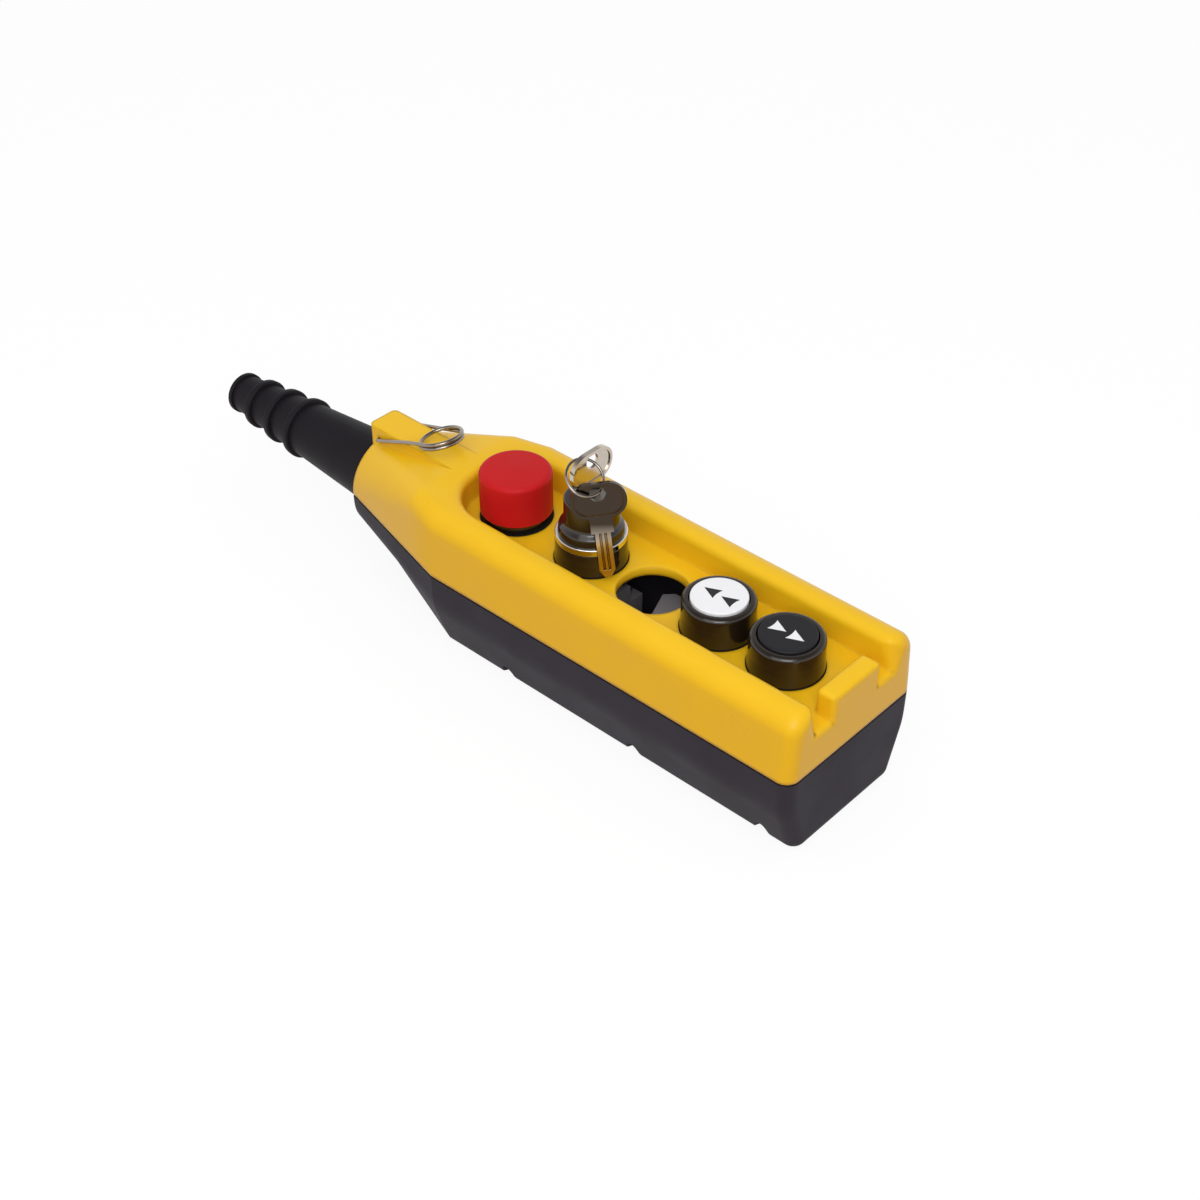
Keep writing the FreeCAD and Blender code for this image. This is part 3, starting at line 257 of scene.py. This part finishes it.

# The hanging key's bow has a painted dark reflection in brown grey, darker towards its top, and painted
# shade in its grooves and hole; its blade keeps the bright plating.
BOW_FOOT = 73 * MM
BOW_DARKEST = 85 * MM
GROOVE_WIDTH = 1.1 * MM
SHADED_KEY = paint_key_shade(
    plated("nickel_key_painted_shade", "#EADCC8", "#D8CAB6", roughness=0.15, streak=0.25, along=ALONG_Z),
    dark_reflection="#453B32", low=BOW_FOOT, high=BOW_DARKEST, hollow_shade="#4A3319", reach=GROOVE_WIDTH,
)
frame["nodes"]["spare_key"].data.materials[0] = SHADED_KEY

# Pad-printing ink in white and in dark grey: an even, slightly raised satin film.
INK_WHITE = moulded("pad_print_white", "#F0F0F0", "#E9E9E9", roughness=0.48, ior=1.5,
                    gloss=0.4, grain=0.4, depth=0.002, flow=4.0)
INK_GREY = moulded("pad_print_dark_grey", "#26282B", "#202225", roughness=0.48, ior=1.5,
                   gloss=0.3, grain=0.4, depth=0.002, flow=4.0)

# Two arrow heads a gap apart, each with a slightly hollow base.
ARROW_LENGTH = 6.8 * MM
ARROW_WIDTH = 6.3 * MM
ARROW_HOLLOW = 0.5 * MM
ARROW_GAP = 8.6 * MM
INK_FILM = 0.05 * MM
BASE_STEPS = 8


def print_arrows(label, disc, body, heading, ink):
    """Print two arrow heads, one behind the other, on a button's disc."""
    low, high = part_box(disc)
    middle = (low + high) / 2
    mesh = bpy.data.meshes.new(label)
    shape = bmesh.new()
    for centre in (-ARROW_GAP / 2, ARROW_GAP / 2):
        tip = centre + ARROW_LENGTH / 2
        outline = [(tip, 0.0)]
        for step in range(BASE_STEPS + 1):
            share = 2 * step / BASE_STEPS - 1
            hollow = ARROW_HOLLOW * (1 - share * share)
            outline.append((tip - ARROW_LENGTH + hollow, -share * ARROW_WIDTH / 2))
        corners = [
            shape.verts.new((middle.x + heading * x, middle.y + heading * y, high.z)) for x, y in outline
        ]
        face = shape.faces.new(corners)
        raised = bmesh.ops.extrude_face_region(shape, geom=[face])["geom"]
        for item in raised:
            if isinstance(item, bmesh.types.BMVert):
                item.co.z += INK_FILM
    bmesh.ops.recalc_face_normals(shape, faces=shape.faces)
    shape.to_mesh(mesh)
    shape.free()
    mesh.materials.append(ink)
    mark = bpy.data.objects.new(label, mesh)
    bpy.context.scene.collection.objects.link(mark)
    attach(mark, body)


# The wire is given by its radius, and the play keeps the last turn clear of what it presses on.
SPRING_WIRE = 0.5 * MM
SPRING_TURNS = 6
SPRING_PLAY = 0.1 * MM
TURN_STEPS = 32
WIRE_ROUNDNESS = 2


def wind_spring(label, node):
    """Wind a compression spring with flat end turns in a node's place."""
    low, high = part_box(node)
    middle = (low + high) / 2
    length = high.z - low.z
    coil = (high.x - low.x) / 2 - SPRING_WIRE
    wire = bpy.data.curves.new(label, "CURVE")
    wire.dimensions = "3D"
    wire.bevel_depth = SPRING_WIRE
    wire.bevel_resolution = WIRE_ROUNDNESS
    wire.use_fill_caps = True
    turns = wire.splines.new("POLY")
    steps = SPRING_TURNS * TURN_STEPS
    turns.points.add(steps)
    for step, point in enumerate(turns.points):
        share = step / steps
        angle = share * SPRING_TURNS * 2 * math.pi
        rise = share * share * (3 - 2 * share) * (length - 2 * SPRING_WIRE - SPRING_PLAY)
        point.co = (
            middle.x + coil * math.cos(angle),
            middle.y + coil * math.sin(angle),
            low.z + SPRING_WIRE + rise,
            1.0,
        )
    wound = bpy.data.objects.new(label + "_wire", wire)
    spring = bpy.data.objects.new(label, bpy.data.meshes.new_from_object(wound))
    bpy.data.objects.remove(wound)
    bpy.context.scene.collection.objects.link(spring)
    spring.data.materials.clear()
    spring.data.materials.append(FINISHES["spring_steel"])
    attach(spring, "housing")
    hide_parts(node)
    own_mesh(spring)


# The upright edges of the end face are rounded where the rails open and beside the end strip. A rail's
# mouth is rounded more at its crest than at its foot.
TRAY_HALF = 23.7 * MM
STRIP_HALF = 14.4 * MM
MOUTH_FOOT = 3.0 * MM
MOUTH_CREST = 9.5 * MM
STRIP_ROUND = 2.2 * MM
NOTCH_FOOT = 57.3 * MM
ROUND_STEPS = 10

# Each rounding tool reaches this far past the end face and the crest, and past the side of the notch.
END_CLEAR = 2 * MM
SIDE_CLEAR = 0.02 * MM

# Points closer than the weld are joined, and an edge that turns by more than the angle is shaded sharp.
WELD = 0.001 * MM
SHARP_ANGLE = math.radians(35)


def edge_tool(label, side, place, inward, foot_radius, crest_radius):
    """Make the tool that rounds an upright edge: the corner outside a quarter circle that grows upwards."""
    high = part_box("front_cover")[1]
    shape = bmesh.new()
    rings = []
    for radius, level in ((foot_radius, NOTCH_FOOT), (crest_radius, high.z + END_CLEAR)):
        outline = []
        for step in range(ROUND_STEPS + 1):
            angle = step / ROUND_STEPS * math.pi / 2
            outline.append((radius * (1 - math.cos(angle)), radius * (1 - math.sin(angle))))
        outline += [(radius, -SIDE_CLEAR), (-END_CLEAR, -SIDE_CLEAR), (-END_CLEAR, radius)]
        rings.append([
            shape.verts.new((high.x - into, side * (place + inward * across), level))
            for into, across in outline
        ])
    foot, crest = rings
    shape.faces.new(foot)
    shape.faces.new(crest)
    for corner in range(len(foot)):
        shape.faces.new((foot[corner - 1], foot[corner], crest[corner], crest[corner - 1]))
    bmesh.ops.recalc_face_normals(shape, faces=shape.faces)
    mesh = bpy.data.meshes.new(label)
    shape.to_mesh(mesh)
    shape.free()
    tool = bpy.data.objects.new(label, mesh)
    bpy.context.scene.collection.objects.link(tool)
    return tool


def soften_cover():
    """Copy the cover and round the upright edges of its rail mouths and its end strip."""
    welded = bmesh.new()
    welded.from_mesh(frame["nodes"]["front_cover"].data)
    bmesh.ops.remove_doubles(welded, verts=welded.verts, dist=WELD)
    mesh = bpy.data.meshes.new("soft_cover")
    welded.to_mesh(mesh)
    welded.free()
    if "custom_normal" in mesh.attributes:
        mesh.attributes.remove(mesh.attributes["custom_normal"])
    cover = bpy.data.objects.new("soft_cover", mesh)
    bpy.context.scene.collection.objects.link(cover)
    tools = []
    for side in (-1, 1):
        tools.append(edge_tool(f"mouth_tool_{side}", side, TRAY_HALF, 1, MOUTH_FOOT, MOUTH_CREST))
        tools.append(edge_tool(f"strip_tool_{side}", side, STRIP_HALF, -1, STRIP_ROUND, STRIP_ROUND))
    for tool in tools:
        cut = cover.modifiers.new(tool.name, "BOOLEAN")
        cut.operation = "DIFFERENCE"
        cut.solver = "EXACT"
        cut.object = tool
    finished = cover.evaluated_get(bpy.context.evaluated_depsgraph_get())
    cover.data = bpy.data.meshes.new_from_object(finished)
    cover.modifiers.clear()
    for tool in tools:
        bpy.data.objects.remove(tool)
    cover.data.materials.clear()
    cover.data.materials.append(FINISHES["cover_yellow"])
    cover.data.shade_smooth()
    cover.data.set_sharp_from_angle(angle=SHARP_ANGLE)
    cover.modifiers.new("even_shading", "WEIGHTED_NORMAL").keep_sharp = True
    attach(cover, "housing")
    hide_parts("front_cover")


# The up button's arrows point to the nose, and the down button's to the open end.
TO_NOSE = -1
TO_END = 1
soften_cover()
for head in ("stop", "up", "down"):
    wind_spring(f"{head}_coil", f"{head}_spring")
print_arrows("up_arrows", "up_cap", "up_button", TO_NOSE, INK_GREY)
print_arrows("down_arrows", "down_cap", "down_button", TO_END, INK_WHITE)


def seen(tree):
    """Give 1 for rays from the camera or by way of gloss or glass, and 0 for rays that light the object."""
    path = add(tree, "LightPath")
    gloss = add(tree, "Math", {0: path.outputs["Is Camera Ray"], 1: path.outputs["Is Glossy Ray"]},
                operation="MAXIMUM")
    glass = add(tree, "Math", {0: gloss.outputs[0], 1: path.outputs["Is Transmission Ray"]},
                operation="MAXIMUM")
    return glass.outputs[0]


WHITE = "#FFFFFF"
SKY_COLOUR = "#FAFBFC"

# Sky light at the horizon and overhead, as a share of white.
SKY_LOW = 0.1
SKY_HIGH = 1.05

# In reflections the surroundings are white up to the ceiling's foot and dim above its crown.
CEILING_FOOT = 0.35
CEILING_CROWN = 0.8
CEILING_DIM = 0.2


def light_world():
    """White surroundings to the eye, and sky light that falls mostly from overhead."""
    world = bpy.data.worlds.new("studio")
    bpy.context.scene.world = world
    world.use_nodes = True
    tree = world.node_tree
    tree.nodes.clear()
    toward = add(tree, "SeparateXYZ", {"Vector": add(tree, "TexCoord").outputs["Generated"]})
    fall = add(tree, "MapRange", {"Value": toward.outputs["Z"], "To Min": SKY_LOW, "To Max": SKY_HIGH})
    sky = add(tree, "Background", {"Color": linear(SKY_COLOUR), "Strength": fall.outputs["Result"]})
    ceiling = add(tree, "MapRange", {"Value": toward.outputs["Z"], "From Min": CEILING_FOOT,
                                     "From Max": CEILING_CROWN, "To Min": 1.0, "To Max": CEILING_DIM})
    eye = add(tree, "LightPath").outputs["Is Camera Ray"]
    level = add(tree, "Math", {0: ceiling.outputs["Result"], 1: eye}, operation="MAXIMUM")
    white = add(tree, "Background", {"Color": linear(WHITE), "Strength": level.outputs[0]})
    mixed = add(tree, "MixShader", {"Fac": seen(tree), 1: sky.outputs[0], 2: white.outputs[0]})
    add(tree, "OutputWorld", {"Surface": mixed.outputs[0]})


# The table throws a warm light back on the object. To the eye it is paper that mostly glows white.
TABLE_REACH = 6.0
TABLE_BOUNCE = "#AE8C6C"
TABLE_ROUGHNESS = 0.9
PAPER_GLOW = 0.9


def lay_floor():
    """Lay a wide white table that stays white in view and keeps a faint shadow."""
    mesh = bpy.data.meshes.new("table")
    corners = [(x * TABLE_REACH, y * TABLE_REACH, 0) for x, y in ((-1, -1), (1, -1), (1, 1), (-1, 1))]
    mesh.from_pydata(corners, [], [(0, 1, 2, 3)])
    table = bpy.data.objects.new("table", mesh)
    bpy.context.scene.collection.objects.link(table)
    material, tree, shader = surface("white_table")
    shader.inputs["Base Color"].default_value = linear(TABLE_BOUNCE)
    shader.inputs["Roughness"].default_value = TABLE_ROUGHNESS
    paper = add(tree, "BsdfDiffuse", {"Color": linear(WHITE)})
    glow = add(tree, "Emission", {"Color": linear(WHITE), "Strength": 1.0})
    white = add(tree, "MixShader", {"Fac": PAPER_GLOW, 1: paper.outputs[0], 2: glow.outputs[0]})
    mixed = add(tree, "MixShader", {"Fac": seen(tree), 1: shader.outputs[0], 2: white.outputs[0]})
    tree.links.new(mixed.outputs[0], tree.nodes["Material Output"].inputs["Surface"])
    mesh.materials.append(material)


# A large softbox stands high on the near side, and a small one behind the camera fills the shadows.
OVER_SPOT = Vector((0.57, -0.87, 1.09))
OVER_AIM = Vector((0.06, 0.0, 0.05))
OVER_SIZE = 1.4
OVER_WATTS = 8.6
FRONT_SPOT = EYE + (EYE - AIM) / 2
FRONT_SIZE = 0.5
FRONT_WATTS = 2.8


def look_at(spot, aim):
    """Give the turn that points a lamp or a camera from a spot at an aim."""
    return (aim - spot).to_track_quat("-Z", "Y").to_euler()


def hang_softbox(name, spot, aim, size, watts):
    """Hang a square soft light that looks at a point of the object."""
    lamp = bpy.data.lights.new(name, "AREA")
    lamp.shape = "SQUARE"
    lamp.size = size
    lamp.energy = watts
    softbox = bpy.data.objects.new(name, lamp)
    softbox.location = spot
    softbox.rotation_euler = look_at(spot, aim)
    bpy.context.scene.collection.objects.link(softbox)


def set_camera():
    """Stand the camera where the photograph was taken."""
    lens = bpy.data.cameras.new("photograph")
    lens.sensor_width = SENSOR
    lens.lens = LENS
    lens.clip_start = NEAR_CLIP
    lens.clip_end = FAR_CLIP
    camera = bpy.data.objects.new("photograph", lens)
    camera.location = EYE
    camera.rotation_euler = look_at(EYE, AIM)
    bpy.context.scene.collection.objects.link(camera)
    bpy.context.scene.camera = camera


light_world()
lay_floor()
hang_softbox("softbox_over", OVER_SPOT, OVER_AIM, OVER_SIZE, OVER_WATTS)
hang_softbox("softbox_front", FRONT_SPOT, AIM, FRONT_SIZE, FRONT_WATTS)
set_camera()
bpy.context.scene.view_settings.view_transform = "Standard"
